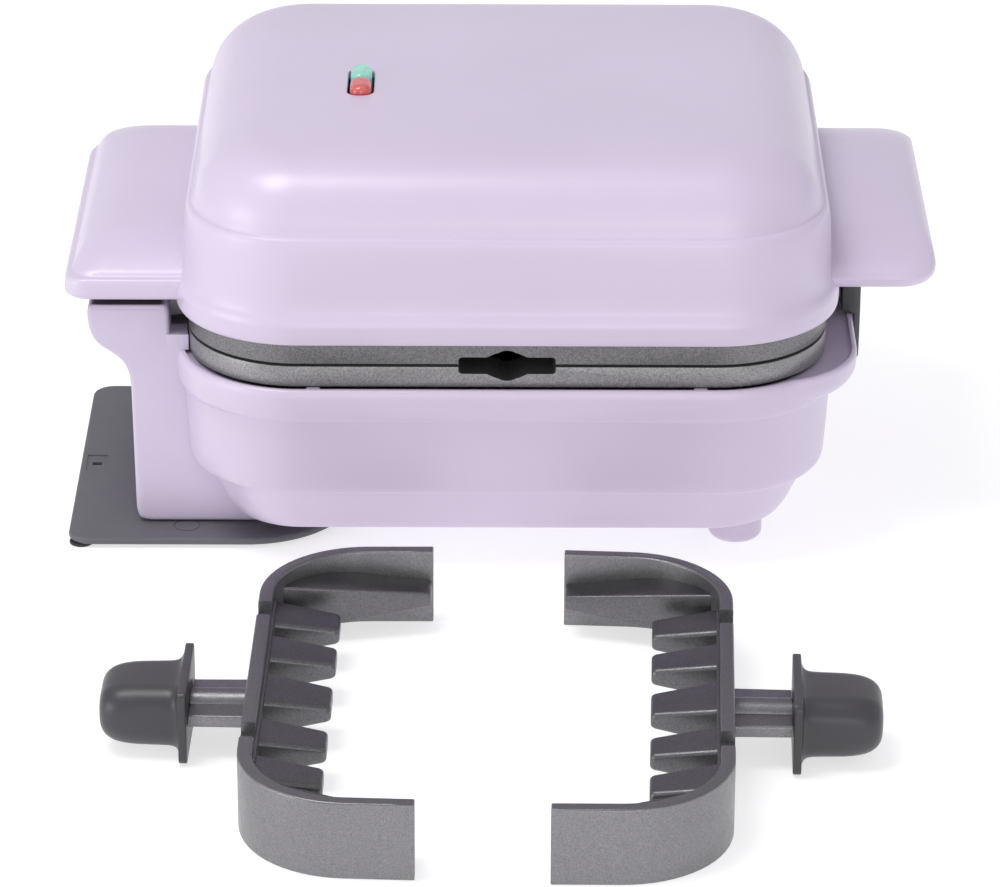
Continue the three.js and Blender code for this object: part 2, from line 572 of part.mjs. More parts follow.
// Lid and everything that swings with it.
raised('lid_shell', lidShell(), LAVENDER, 0.5);
raised('handle_underside', handleUnderside(), LAVENDER, 0.55);
raised('upper_plate', upperPlate(), CAST_GREY, 0.5, 0.3);
raised('upper_element', element(26.4), STEEL, 0.4, 0.9);
raised('upper_reflector', reflector(10, 36, -1), STEEL, 0.3, 1);
raised('latch_lever', latchLever(), 0x47464a, 0.5);
raised('latch_pin', rod('y', LATCH_PIN_RADIUS, -44, 44, [LATCH_X, LATCH_Z], 16), STEEL, 0.3, 1);
for (const { name, y, color } of LENSES) {
  raised(name, loft([
    { points: lensRing(y, 0), z: LID_TOP_Z - 10.5 },
    { points: lensRing(y, 0), z: LID_TOP_Z + 2.4 },
    { points: lensRing(y, 1.2), z: LID_TOP_Z + 3.8 },
  ]), color, 0.15);
}
raised('lamp_board', box(-72, -49, -30, 16, LID_TOP_Z - 14.6, LID_TOP_Z - 12), 0x6f7f56, 0.7);

// Core inserts, loose on the table.
for (const [side, pose] of Object.entries(CORE_POSES)) {
  piece(`${side}_core`, placed(coreCasting(), pose), CAST_GREY, 0.45, 0.4);
  piece(`${side}_knob`, placed(coreKnob(), pose), 0x4b494e, 0.45);
  piece(`${side}_core_screw`, placed(coreScrew(), pose), STEEL, 0.4, 0.9);
}

export default donutMaker;
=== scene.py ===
"""Looks of a donut maker and its two loose core inserts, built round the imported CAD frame."""
import math

import bmesh
import bpy
from mathutils import Matrix, Vector


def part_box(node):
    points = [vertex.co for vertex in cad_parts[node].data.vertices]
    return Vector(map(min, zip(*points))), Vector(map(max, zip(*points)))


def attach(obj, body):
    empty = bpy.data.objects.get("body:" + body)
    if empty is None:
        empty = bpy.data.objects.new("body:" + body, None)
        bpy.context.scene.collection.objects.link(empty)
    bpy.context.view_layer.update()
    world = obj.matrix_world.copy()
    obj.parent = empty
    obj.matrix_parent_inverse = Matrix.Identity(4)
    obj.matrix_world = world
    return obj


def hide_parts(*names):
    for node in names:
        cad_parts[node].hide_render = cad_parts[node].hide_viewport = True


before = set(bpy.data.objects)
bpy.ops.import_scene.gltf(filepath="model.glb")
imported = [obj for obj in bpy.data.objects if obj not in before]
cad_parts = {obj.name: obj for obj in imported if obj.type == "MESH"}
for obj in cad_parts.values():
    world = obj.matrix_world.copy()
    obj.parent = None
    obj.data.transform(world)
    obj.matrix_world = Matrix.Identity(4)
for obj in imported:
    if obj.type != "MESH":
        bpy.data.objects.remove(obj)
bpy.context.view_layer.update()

# ------------------------------------------------------------------ places read from the frame
MM = 0.001
GAP = 0.3

plate_low, plate_high = (Vector(corner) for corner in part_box("lower_plate"))
PARTING = plate_high.z + 0.2 * MM
MACHINE = Vector(((plate_low.x + plate_high.x) / 2, (plate_low.y + plate_high.y) / 2, PARTING))
TABLE = Vector((MACHINE.x, MACHINE.y, 0))

# ------------------------------------------------------------------ sizes, millimetres
CORNER_X, CORNER_Y = 84, 70
STEPS = 18

RIM_Z = -9.5
CASE_BOTTOM_Z = -81
LID_BOTTOM_Z = 10
LID_TOP_Z = 80.4
FOOT_Z = -PARTING / MM

TUB_PROFILE = [
    (22, CASE_BOTTOM_Z), (28, -80.2), (31.5, -76.4), (34.8, -70), (38.4, -62), (40.4, -58.2), (40.8, -57.8),
    (44.8, -57.2), (45.9, -56), (46.5, -53.8), (48.3, -24.6), (48.4, -23.9), (49.9, -23.1),
    (50.7, -21.2), (51, -17),
    (51, -13), (50.3, -10.2), (49.4, RIM_Z),
]
TUB_HOLLOW = [
    (20, -78.4), (24, -77.6), (28.4, -74), (32, -68.5), (35.8, -60), (38, -55),
    (43.2, -52.6), (44.2, -50), (45.8, -25), (45.2, -15), (44, -11.1), (48.2, -10.9), (48.2, -7),
]
LID_PROFILE = [
    (49.2, LID_BOTTOM_Z), (50.2, 10.4), (50.8, 11.8), (51, 14), (51, 17.5), (50.4, 20), (48.8, 23),
    (47.9, 28), (47.3, 38), (46.6, 48), (45.9, 52), (44.8, 53.6), (43.8, 53.9), (43.3, 54.8),
    (42.2, 59.6), (39.7, 65.6), (36, 70.7), (31.2, 74.9), (25.2, 78), (18.6, 79.8), (12, LID_TOP_Z),
]
LID_HOLLOW = [
    (48.2, 8), (48.2, 18), (45.4, 24), (44.1, 47), (41.2, 53.2), (39.6, 59.2),
    (33.8, 68.2), (24, 75.2), (12, 77.8),
]


# ------------------------------------------------------------------ mesh helpers
def catmull(points, per_span, closed=False):
    """Smooth curve through rows of numbers, with per_span points for each stretch."""
    rows = [tuple(map(float, p)) for p in points]
    count = len(rows)
    spans = count if closed else count - 1
    out = []
    for i in range(spans):
        if closed:
            p0, p1, p2, p3 = (rows[(i + k) % count] for k in (-1, 0, 1, 2))
        else:
            p0, p1, p2, p3 = rows[max(i - 1, 0)], rows[i], rows[i + 1], rows[min(i + 2, count - 1)]
        for k in range(per_span):
            t = k / per_span
            row = []
            for a, b, c, d in zip(p0, p1, p2, p3):
                # tangents are cut to the smaller neighbour slope, so the curve never overshoots
                m1, m2 = tangent(b - a, c - b), tangent(c - b, d - c)
                h = c - b
                row.append(b + m1 * t + (3 * h - 2 * m1 - m2) * t * t + (m1 + m2 - 2 * h) * t ** 3)
            out.append(tuple(row))
    if not closed:
        out.append(rows[-1])
    return out


def tangent(left, right):
    if left * right <= 0:
        return 0.0
    return 2 * left * right / (left + right)


def ring(x0, x1, y0, y1, radius, steps=STEPS):
    """Rectangle with round corners, counter-clockwise from the +X side of the first corner."""
    points = []
    for quarter, (x, y, sx, sy) in enumerate((
            (x1, y1, 1, 1), (x0, y1, -1, 1), (x0, y0, -1, -1), (x1, y0, 1, -1))):
        cx, cy = x - sx * radius, y - sy * radius
        for i in range(steps + 1):
            angle = (quarter + i / steps) * math.pi / 2
            points.append((cx + radius * math.cos(angle), cy + radius * math.sin(angle)))
    return points


def case_ring(radius, steps=STEPS):
    return ring(-CORNER_X - radius, CORNER_X + radius, -CORNER_Y - radius, CORNER_Y + radius, radius, steps)


def mesh_object(name, verts, faces, at=(0, 0, 0), turn=0.0):
    """Object from millimetre points, turned about +Z and put at a place in metres."""
    mesh = bpy.data.meshes.new(name)
    place = Matrix.Translation(Vector(at)) @ Matrix.Rotation(turn, 4, "Z") @ Matrix.Scale(MM, 4)
    mesh.from_pydata([place @ Vector(v) for v in verts], [], faces)
    bm = bmesh.new()
    bm.from_mesh(mesh)
    bmesh.ops.remove_doubles(bm, verts=bm.verts, dist=1e-7)
    bmesh.ops.recalc_face_normals(bm, faces=bm.faces)
    bm.to_mesh(mesh)
    bm.free()
    obj = bpy.data.objects.new(name, mesh)
    bpy.context.scene.collection.objects.link(obj)
    return obj


def loft_data(levels, to_point=None):
    """Closed skin through rings with the same number of points; to_point maps (u, v, w) to XYZ."""
    count = len(levels[0][0])
    verts = [(u, v, w) for points, w in levels for u, v in points]
    faces = []
    for level in range(len(levels) - 1):
        for i in range(count):
            a, b = level * count + i, level * count + (i + 1) % count
            faces.append((a, b, b + count, a + count))
    faces.append(tuple(range(count - 1, -1, -1)))
    last = (len(levels) - 1) * count
    faces.append(tuple(range(last, last + count)))
    if to_point:
        verts = [to_point(*v) for v in verts]
    return verts, faces


def loft(name, levels, at=MACHINE, turn=0.0, to_point=None):
    return mesh_object(name, *loft_data(levels, to_point), at=at, turn=turn)


def joined(name, pieces):
    """One mesh of several closed shells."""
    bm = bmesh.new()
    for piece in pieces:
        bm.from_mesh(piece.data)
    mesh = bpy.data.meshes.new(name)
    bm.to_mesh(mesh)
    bm.free()
    for piece in pieces:
        bpy.data.objects.remove(piece)
    obj = bpy.data.objects.new(name, mesh)
    bpy.context.scene.collection.objects.link(obj)
    return obj


def boolean(target, tools, operation="DIFFERENCE"):
    for tool in tools:
        modifier = target.modifiers.new("cut", "BOOLEAN")
        modifier.object = tool
        modifier.operation = operation
        modifier.solver = "EXACT"
    bpy.context.view_layer.update()
    evaluated = target.evaluated_get(bpy.context.evaluated_depsgraph_get())
    mesh = bpy.data.meshes.new_from_object(evaluated)
    target.modifiers.clear()
    target.data = mesh
    for tool in tools:
        bpy.data.objects.remove(tool)
    return target


def bevelled(obj, width, segments=3, angle=40):
    modifier = obj.modifiers.new("bevel", "BEVEL")
    modifier.width = width * MM
    modifier.segments = segments
    modifier.limit_method = "ANGLE"
    modifier.angle_limit = math.radians(angle)
    modifier.use_clamp_overlap = True
    bpy.context.view_layer.update()
    evaluated = obj.evaluated_get(bpy.context.evaluated_depsgraph_get())
    mesh = bpy.data.meshes.new_from_object(evaluated)
    obj.modifiers.clear()
    obj.data = mesh
    return obj


def finished(obj, material, body, replaces=(), sharp=32):
    """Material, smooth shading up to the sharp angle, the body it belongs to, and the CAD parts it stands in
    for, which are hidden.
    """
    obj.data.materials.clear()
    obj.data.materials.append(material)
    obj.data.shade_smooth()
    obj.data.set_sharp_from_angle(angle=math.radians(sharp))
    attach(obj, body)
    if replaces:
        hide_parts(*replaces)
    return obj


def rounded_levels(points_at, z0, z1, radius, steps=4):
    """Levels of a slab from z0 to z1 whose edges are rounded: points_at(inset) gives the outline."""
    low, high = [], []
    for i in range(steps + 1):
        angle = i / steps * math.pi / 2
        inset = radius * (1 - math.sin(angle))
        rise = radius * (1 - math.cos(angle))
        low.append((points_at(inset), z0 + rise))
        high.append((points_at(inset), z1 - rise))
    return low + high[::-1]


def lathe(name, profile, at, sides=48, axis="Z"):
    """Solid of revolution from (radius, height) rows, about an axis through a place in metres."""
    levels = [([(r * math.cos(2 * math.pi * i / sides), r * math.sin(2 * math.pi * i / sides))
                for i in range(sides)], h) for r, h in profile]
    turn = {
        "Z": lambda u, v, w: (u, v, w), "X": lambda u, v, w: (w, u, v), "Y": lambda u, v, w: (v, w, u),
    }[axis]
    return loft(name, levels, at=at, to_point=turn)


def block(name, x0, x1, y0, y1, z0, z1, at=MACHINE, turn=0.0):
    return loft(name, [(((x0, y0), (x1, y0), (x1, y1), (x0, y1)), z) for z in (z0, z1)], at=at, turn=turn)


def softened(outline, limits=(2.6, 1.3, 0.65)):
    """Closed outline with its corners cut back again and again, each cut no longer than a limit."""
    points = [Vector(p) for p in outline]
    for limit in limits:
        cut = []
        for i, a in enumerate(points):
            b = points[(i + 1) % len(points)]
            step = b - a
            share = min(0.25, limit / max(step.length, 1e-9))
            cut += [a + step * share, b - step * share]
        points = cut
    return [tuple(p) for p in points]


def inset_outline(outline, distance):
    """Closed counter-clockwise outline moved inwards by a small distance."""
    out = []
    for i, p in enumerate(outline):
        before, after = Vector(outline[i - 1]), Vector(outline[(i + 1) % len(outline)])
        along = (after - before).normalized()
        out.append((p[0] - along.y * distance, p[1] + along.x * distance))
    return out


def across(name, outline, y0, y1, edge=0.0, at=MACHINE):
    """XZ outline drawn out along Y, its two ends rounded by edge."""
    if sum(a[0] * b[1] - b[0] * a[1] for a, b in zip(outline, outline[1:] + outline[:1])) < 0:
        outline = outline[::-1]
    levels = rounded_levels(lambda inset: inset_outline(outline, inset), y0, y1, edge) if edge else [
        (outline, y0), (outline, y1)]
    return loft(name, levels, at=at, to_point=lambda u, v, w: (u, w, v))


# ------------------------------------------------------------------ materials
def node_material(name):
    material = bpy.data.materials.new(name)
    material.use_nodes = True
    tree = material.node_tree
    shader = tree.nodes["Principled BSDF"]
    return material, tree, shader


def coordinates(tree):
    return tree.nodes.new("ShaderNodeTexCoord").outputs["Object"]


def noise(tree, scale, detail=2.0, roughness=0.5):
    node = tree.nodes.new("ShaderNodeTexNoise")
    node.inputs["Scale"].default_value = scale
    node.inputs["Detail"].default_value = detail
    node.inputs["Roughness"].default_value = roughness
    tree.links.new(coordinates(tree), node.inputs["Vector"])
    return node.outputs["Fac"]


def ramp(tree, fac, stops):
    node = tree.nodes.new("ShaderNodeValToRGB")
    ends = node.color_ramp.elements
    while len(ends) < len(stops):
        ends.new(0.5)
    for end, (place, color) in zip(ends, stops):
        end.position = place
        end.color = (*color, 1)
    tree.links.new(fac, node.inputs["Fac"])
    return node.outputs["Color"]


def spread(tree, fac, low, high):
    node = tree.nodes.new("ShaderNodeMapRange")
    node.inputs["From Min"].default_value = 0.3
    node.inputs["From Max"].default_value = 0.7
    node.inputs["To Min"].default_value = low
    node.inputs["To Max"].default_value = high
    tree.links.new(fac, node.inputs["Value"])
    return node.outputs["Result"]


def bump(tree, shader, fac, strength, distance, below=None):
    node = tree.nodes.new("ShaderNodeBump")
    node.inputs["Strength"].default_value = strength
    node.inputs["Distance"].default_value = distance
    tree.links.new(fac, node.inputs["Height"])
    if below:
        tree.links.new(below, node.inputs["Normal"])
    tree.links.new(node.outputs["Normal"], shader.inputs["Normal"])
    return node.outputs["Normal"]


def moulded_plastic(name, color, roughness, grain=2600, grain_depth=0.00003, coat=0.0, drift=0.04):
    """Moulded plastic: slow colour drift, fine spark texture and uneven gloss."""
    material, tree, shader = node_material(name)
    slow = noise(tree, 9, 3)
    dark = tuple(c * (1 - drift) for c in color)
    light = tuple(min(c * (1 + drift), 1) for c in color)
    tree.links.new(ramp(tree, slow, [(0.35, dark), (0.65, light)]), shader.inputs["Base Color"])
    tree.links.new(
        spread(tree, noise(tree, 120, 4), roughness - 0.03, roughness + 0.04), shader.inputs["Roughness"])
    bump(tree, shader, noise(tree, grain, 2), 0.35, grain_depth)
    shader.inputs["Coat Weight"].default_value = coat
    shader.inputs["Coat Roughness"].default_value = 0.3
    shader.inputs["IOR"].default_value = 1.47
    return material


def shade_above(material, low, high, color):
    """Painted shade: darkens a plastic above a height, where two mouldings face each other over a narrow gap.
    """
    tree = material.node_tree
    shader = tree.nodes["Principled BSDF"]
    height = tree.nodes.new("ShaderNodeSeparateXYZ")
    tree.links.new(coordinates(tree), height.inputs["Vector"])
    share = tree.nodes.new("ShaderNodeMapRange")
    share.inputs["From Min"].default_value = low
    share.inputs["From Max"].default_value = high
    tree.links.new(height.outputs["Z"], share.inputs["Value"])
    blend = tree.nodes.new("ShaderNodeMix")
    blend.data_type = "RGBA"
    blend.inputs["B"].default_value = (*color, 1)
    tree.links.new(share.outputs["Result"], blend.inputs["Factor"])
    tree.links.new(shader.inputs["Base Color"].links[0].from_socket, blend.inputs["A"])
    tree.links.new(blend.outputs["Result"], shader.inputs["Base Color"])


def coated_casting(name, dark, light, metallic, roughness, painted_top_shade=0.72):
    """Cast aluminium under a speckled non-stick coating; its upward faces are made darker by painted shade.
    """
    material, tree, shader = node_material(name)
    fleck = noise(tree, 1700, 4, 0.75)
    mid = tuple((a + b) / 2 for a, b in zip(dark, light))
    # painted shade: the base colour darkens as a face turns upwards, full at half upright and scaled by the
    # given factor when flat
    facing = tree.nodes.new("ShaderNodeSeparateXYZ")
    tree.links.new(tree.nodes.new("ShaderNodeNewGeometry").outputs["Normal"], facing.inputs["Vector"])
    shade = tree.nodes.new("ShaderNodeMapRange")
    shade.inputs["From Min"].default_value = 0.5
    shade.inputs["From Max"].default_value = 0.97
    shade.inputs["To Min"].default_value = 1
    shade.inputs["To Max"].default_value = painted_top_shade
    tree.links.new(facing.outputs["Z"], shade.inputs["Value"])
    tone = tree.nodes.new("ShaderNodeVectorMath")
    tone.operation = "SCALE"
    tree.links.new(ramp(tree, fleck, [(0.36, dark), (0.5, mid), (0.66, light)]), tone.inputs["Vector"])
    tree.links.new(shade.outputs["Result"], tone.inputs["Scale"])
    tree.links.new(tone.outputs["Vector"], shader.inputs["Base Color"])
    tree.links.new(
        spread(tree, noise(tree, 260, 4), roughness - 0.05, roughness + 0.06), shader.inputs["Roughness"])
    shader.inputs["Metallic"].default_value = metallic
    coarse = bump(tree, shader, noise(tree, 420, 3), 0.15, 0.0001)
    bump(tree, shader, fleck, 0.25, 0.00003, below=coarse)
    return material


def brushed(name, color, roughness):
    material, tree, shader = node_material(name)
    lines = tree.nodes.new("ShaderNodeTexNoise")
    mapping = tree.nodes.new("ShaderNodeMapping")
    mapping.inputs["Scale"].default_value = (60, 2400, 2400)
    tree.links.new(coordinates(tree), mapping.inputs["Vector"])
    tree.links.new(mapping.outputs["Vector"], lines.inputs["Vector"])
    lines.inputs["Scale"].default_value = 1
    fac = lines.outputs["Fac"]
    tree.links.new(
        ramp(tree, fac, [(0.3, tuple(c * 0.8 for c in color)), (0.7, color)]), shader.inputs["Base Color"])
    tree.links.new(spread(tree, fac, roughness - 0.06, roughness + 0.08), shader.inputs["Roughness"])
    shader.inputs["Metallic"].default_value = 1
    bump(tree, shader, fac, 0.15, 0.00003)
    return material


def lens_plastic(name, edge, core, glow):
    """Tinted clear plastic over a lamp: its colour varies at random between two tints, with a faint glow of
    its own.
    """
    material, tree, shader = node_material(name)
    tree.links.new(ramp(tree, noise(tree, 300, 2), [(0.3, edge), (0.7, core)]), shader.inputs["Base Color"])
    shader.inputs["Roughness"].default_value = 0.12
    shader.inputs["Coat Weight"].default_value = 0.6
    shader.inputs["Subsurface Weight"].default_value = 0.25
    shader.inputs["Subsurface Scale"].default_value = 0.002
    shader.inputs["Emission Color"].default_value = (*core, 1)
    shader.inputs["Emission Strength"].default_value = glow
    return material


LAVENDER = (0.618, 0.536, 0.687)
lavender = moulded_plastic("lavender_gloss", LAVENDER, 0.36, coat=0.5, drift=0.02)
lavender_spark = moulded_plastic(
    "lavender_spark", tuple(c * 0.97 for c in LAVENDER), 0.5, 1900, 0.00008, drift=0.02)
column_spark_painted_shade = moulded_plastic(
    "column_spark_painted_shade", tuple(c * 0.97 for c in LAVENDER), 0.5, 1300, 0.00014, drift=0.02)
# painted shade: the column's top above 9.8 mm is darkened to near black, where it lies in the narrow gap
# under the hinge cover
shade_above(column_spark_painted_shade, PARTING + 9.8 * MM, PARTING + 10.2 * MM, (0.05, 0.045, 0.055))
stand_grey = moulded_plastic("stand_grey", (0.112, 0.110, 0.122), 0.52, 1800, 0.00006, drift=0.05)
knob_black = moulded_plastic("knob_satin", (0.045, 0.042, 0.049), 0.4, 2600, 0.00003, coat=0.15, drift=0.06)
latch_black = moulded_plastic("latch_satin", (0.078, 0.074, 0.080), 0.38, 2400, 0.00003, drift=0.08)
casting = coated_casting("speckled_casting", (0.185, 0.181, 0.190), (0.30, 0.293, 0.308), 0.95, 0.38)
# darker copy of the core casting for the inner band, ledges and fins: painted shade in the core's recesses
inner_casting_painted_shade = coated_casting("speckled_inside_painted_shade", (0.115, 0.112, 0.119), (0.20, 0.195, 0.206), 0.92, 0.38)
# one plate casting in two copies: the lower plate's is lighter (painted light), the upper plate's darker
# (painted shade under the lid's overhang)
lower_rim_painted_light = coated_casting("speckled_lower_rim_painted_light", (0.185, 0.181, 0.188), (0.40, 0.392, 0.402), 0.75, 0.42)
upper_rim_painted_shade = coated_casting("speckled_upper_rim_painted_shade", (0.125, 0.122, 0.128), (0.28, 0.274, 0.284), 0.75, 0.42)
steel = brushed("brushed_steel", (0.56, 0.56, 0.57), 0.3)
rubber = moulded_plastic("black_rubber", (0.028, 0.027, 0.03), 0.75, 1500, 0.00008, drift=0.1)
ceramic = moulded_plastic("white_ceramic", (0.72, 0.69, 0.62), 0.55, 1200, 0.00005, drift=0.04)
board_green = moulded_plastic("circuit_board", (0.09, 0.17, 0.06), 0.4, 900, 0.00005, drift=0.2)
green_glass = lens_plastic("green_lens", (0.20, 0.50, 0.42), (0.30, 0.66, 0.56), 0.15)
red_glass = lens_plastic("red_lens", (0.45, 0.05, 0.06), (0.62, 0.12, 0.12), 0.15)


# ------------------------------------------------------------------ lower case
def case_levels(profile, per_span=4):
    return [(case_ring(r), z) for r, z in catmull(profile, per_span)]


def lip_levels(inset, rows):
    out = []
    for z, taper in catmull(rows, 4):
        by = inset + taper
        out.append((ring(20, 143.2 - by, -111 + by, 111 - by, 38 - by), z))
    return out


COLUMN = [
    (-168.8, 10.5), (-170.8, 8.5), (-170.6, 2), (-169.4, -3.5), (-166.5, -7.8),
    (-161.5, -11), (-157.4, -14.2), (-154.9, -18.4), (-153.7, -24.6), (-152.8, -83.7), (-150, -86.7),
    (-97, -86.7), (-97, -79.8), (-106, -77), (-118.5, -62), (-126, -54), (-129, -24), (-129.5, -9.8),
    (-136.4, -9.4), (-137.3, -5), (-137.6, 8.5), (-139.6, 10.4),
]
COLUMN_HOLLOW = [
    (-168.2, 7.8), (-168, 2), (-166.8, -2.2), (-164.5, -5.4), (-160, -8.6), (-155, -12.6),
    (-152.5, -17), (-151.2, -25), (-150.3, -88), (-138, -88), (-138, -6), (-140.8, 7.8),
]
COLUMN_HALF = 79
LUG_Y, LUG_WIDTH = 55, 22
PIN_X, PIN_Z = -160, 3

tub = loft("housing_tub", case_levels(TUB_PROFILE))
lip = loft("lip", lip_levels(0, [(-23.5, 11), (-22, 6), (-19, 2), (-15, 0.4), (-10.7, 0.2), (RIM_Z, 1)]))
tub = boolean(tub, [lip], "UNION")
tub = boolean(tub, [
    loft("tub_hollow", case_levels(TUB_HOLLOW)),
    loft("lip_hollow", lip_levels(2.2, [(-10.9, 1.6), (-10.7, 0.8), (-10.2, 0.2), (-8, 0)])),
])
finished(tub, lavender, "base", ["lower_housing"], sharp=40)

column = across("housing_column", softened(COLUMN), -COLUMN_HALF, COLUMN_HALF, 1.8)
slots = [block("slot", -168.2, -128, y - LUG_WIDTH / 2 - 1.5, y + LUG_WIDTH / 2 + 1.5, -5, 14)
         for y in (-LUG_Y, LUG_Y)]
SHELF = [(-139, -14), (-122, -14), (-122, -2.8), (-139, -2.8)]
shelf = across("column_shelf", SHELF, -COLUMN_HALF, COLUMN_HALF, 0.3)
shelf = boolean(shelf, [loft("plate_room", [(case_ring(46.6), -20), (case_ring(46.6), 4)])])
column = boolean(column, [shelf], "UNION")
column = boolean(column, [
    across("column_hollow", COLUMN_HOLLOW, -COLUMN_HALF + 2.5, COLUMN_HALF - 2.5),
    loft("tub_room", case_levels([(r - 0.6, z) for r, z in TUB_PROFILE])),
    *slots,
])
finished(column, column_spark_painted_shade, "base", sharp=35)

for i, x in enumerate((-77.7, 77.7)):
    tab = loft(f"rim_tab_{i + 1}", rounded_levels(
        lambda inset, x=x: ring(x - 2.8 + inset, x + 2.8 - inset, -119 + inset, -115 - inset, 0.8, 4),
        -14, RIM_Z - GAP, 0.4))
    finished(tab, lavender, "base")

FOOT_PROFILE = [
    (7.6, FOOT_Z + 0.5), (9, FOOT_Z + 0.8), (10.4, FOOT_Z + 1.9), (11, FOOT_Z + 3.6), (11, -80), (11, -74),
]
for i, y in enumerate((-80, 80)):
    foot = lathe(f"case_foot_{i + 1}", catmull(FOOT_PROFILE, 4), MACHINE + Vector((94.5, y, 0)) * MM, 64)
    finished(foot, lavender, "base")
    pad = lathe(f"case_foot_pad_{i + 1}", [(5.7, 0.02), (6.2, 0.4), (6.2, 1.3), (5.6, 1.5)],
                TABLE + Vector((94.5, y, 0)) * MM, 48)
    finished(pad, rubber, "base", [f"foot_pad_{i + 1}"])

# ------------------------------------------------------------------ stand plate
STAND_LEFT, STAND_RIGHT, STAND_FRONT, STAND_BACK = -180.5, -65, -95, 61
STAND_LOW, STAND_HIGH = 1.5, 4.5
SWEEP = 42


def stand_outline(inset):
    """Round corners of 9 mm, and a wide sweep to the front right corner."""
    left, right, front, back = (
        STAND_LEFT + inset, STAND_RIGHT - inset, STAND_FRONT + inset, STAND_BACK - inset)
    corners = ((right, back, 9), (left, back, 9), (left, front, 9), (right, front, SWEEP))
    points = []
    for quarter, (x, y, radius) in enumerate(corners):
        r = radius - inset
        cx = x - math.copysign(r, x - (left + right) / 2)
        cy = y - math.copysign(r, y - (front + back) / 2)
        for i in range(25):
            angle = (quarter + i / 24) * math.pi / 2
            points.append((cx + r * math.cos(angle), cy + r * math.sin(angle)))
    return points


stand = loft("stand_plate_moulding", rounded_levels(stand_outline, STAND_LOW, STAND_HIGH, 1.1), at=TABLE)
ring_mark = lathe("ring_mark", [(5.5, 4.2), (5.5, 8)], TABLE + Vector((-132, -82, 0)) * MM, 48)
ring_mark = boolean(ring_mark, [
    lathe("ring_core", [(5, 4), (5, 9)], TABLE + Vector((-132, -82, 0)) * MM, 48)])
stand = boolean(stand, [
    block("recess", -178, -169.5, -29, -12.5, STAND_HIGH - 0.4, 8, at=TABLE),
    block("recess_slot", -175.6, -171.6, -22, -19, STAND_HIGH - 2.2, 8, at=TABLE),
    ring_mark,
])
finished(stand, stand_grey, "base", ["stand_plate"], sharp=35)
for i, (x, y) in enumerate(((-175, -89.5), (-174, 54.5), (-75, -48), (-75, 54.5))):
    pad = lathe(f"stand_pad_soft_{i + 1}", [(4.4, 0.02), (5, 0.4), (5, 1.2), (4.7, 1.45)],
                TABLE + Vector((x, y, 0)) * MM, 48)
    finished(pad, rubber, "base", [f"stand_pad_{i + 1}"])

# ------------------------------------------------------------------ cooking plates
PLATE_RADIUS, PLATE_THICK = 46, 9.3
CAVITY_X, CAVITY_Y, CAVITY_DEPTH = 108, 96, 18
KEY_HALF_WIDTH, KEY_HALF_HEIGHT, KEY_BORE = 19.5, 3.4, 6.6
CUP_PLACES = ((-65, 13.8), (-34.5, 13.8), (0, 16.5), (34.5, 13.8), (65, 13.8))
CUP_RIM_Z = -8


def flipped(up):
    """Plate coordinates for a lower plate (face up) or an upper one (face down)."""
    side = 1 if up else -1
    return lambda u, v, w: (u, v * side, w * side - side * 0.2)


def cup_levels(x, half, side):
    y0, y1 = sorted((side * 4, side * 94))
    rows = [(3.8, 4.8, 7, -18), (2.9, 3.9, 7.8, -17.5), (2.3, 3.3, 8.6, -16), (0.4, 0.5, 10.6, -9.2),
            (0, 0, 11, -8.3), (-0.6, -0.6, 11.6, -7.8), (-0.6, -0.6, 11.6, 3)]
    return [(ring(x - half + a, x + half - a, y0 + b, y1 - b, r, 8), z) for a, b, r, z in catmull(rows, 2)]


def plate_rim_levels():
    """Rim slab with a rounded outer edge and a small rebate where the two plates meet."""
    edge = 0.7
    levels = [(case_ring(PLATE_RADIUS - edge * (1 - math.sin(a)), 28),
               -PLATE_THICK + edge * (1 - math.cos(a)))
              for a in (i / 4 * math.pi / 2 for i in range(5))]
    for inset, z in ((0, -0.7), (0.1, -0.48), (0.3, -0.4), (2.8, -0.38), (2.85, 0)):
        levels.append((case_ring(PLATE_RADIUS - inset, 28), z))
    return levels


def plate_casting(name, up):
    place = flipped(up)

    def solid(label, levels):
        return loft(label, levels, to_point=place)

    rim = solid(name, plate_rim_levels())
    bulge = solid("bulge", [(ring(-112 + a, 112 - a, -100 + a, 100 - a, 30 - a), z) for a, z in
                            ((3, -21.5), (1, -20.9), (0, -19), (0, -5))])
    rim = boolean(rim, [bulge], "UNION")
    cavity = solid("cavity", [(ring(-CAVITY_X + a, CAVITY_X - a, -CAVITY_Y + a, CAVITY_Y - a, 26 - a), z)
                              for a, z in ((2, -CAVITY_DEPTH), (0.6, -17.4), (0, -16), (0, 4))])
    rim = boolean(rim, [cavity])
    cups = joined("cups", [
        solid("cup", cup_levels(x, half, side)) for x, half in CUP_PLACES for side in (-1, 1)])
    core = solid("core", rounded_levels(
        lambda inset: ring(-82 + inset, 82 - inset, -87 + inset, 87 - inset, 8 - inset, 8),
        -18.5, CUP_RIM_Z, 0.8))
    core = boolean(core, [cups])

    def along(label, outline):
        return loft(label, [(outline, -130), (outline, 130)], to_point=lambda u, v, w: place(u, w, v))

    slab_cut = along("key_slot", ring(-KEY_HALF_WIDTH, KEY_HALF_WIDTH, -KEY_HALF_HEIGHT, 12, 1.6, 6))
    throat = along("key_throat", [(-8.4, -3.3), (-4.4, -5.2), (4.4, -5.2), (8.4, -3.3), (8.4, 4), (-8.4, 4)])
    bore = lathe("key_bore", [(KEY_BORE, -130), (KEY_BORE, 130)], MACHINE, 48, "Y")
    rim = boolean(rim, [slab_cut, throat, bore])
    return joined(name, [rim, core])


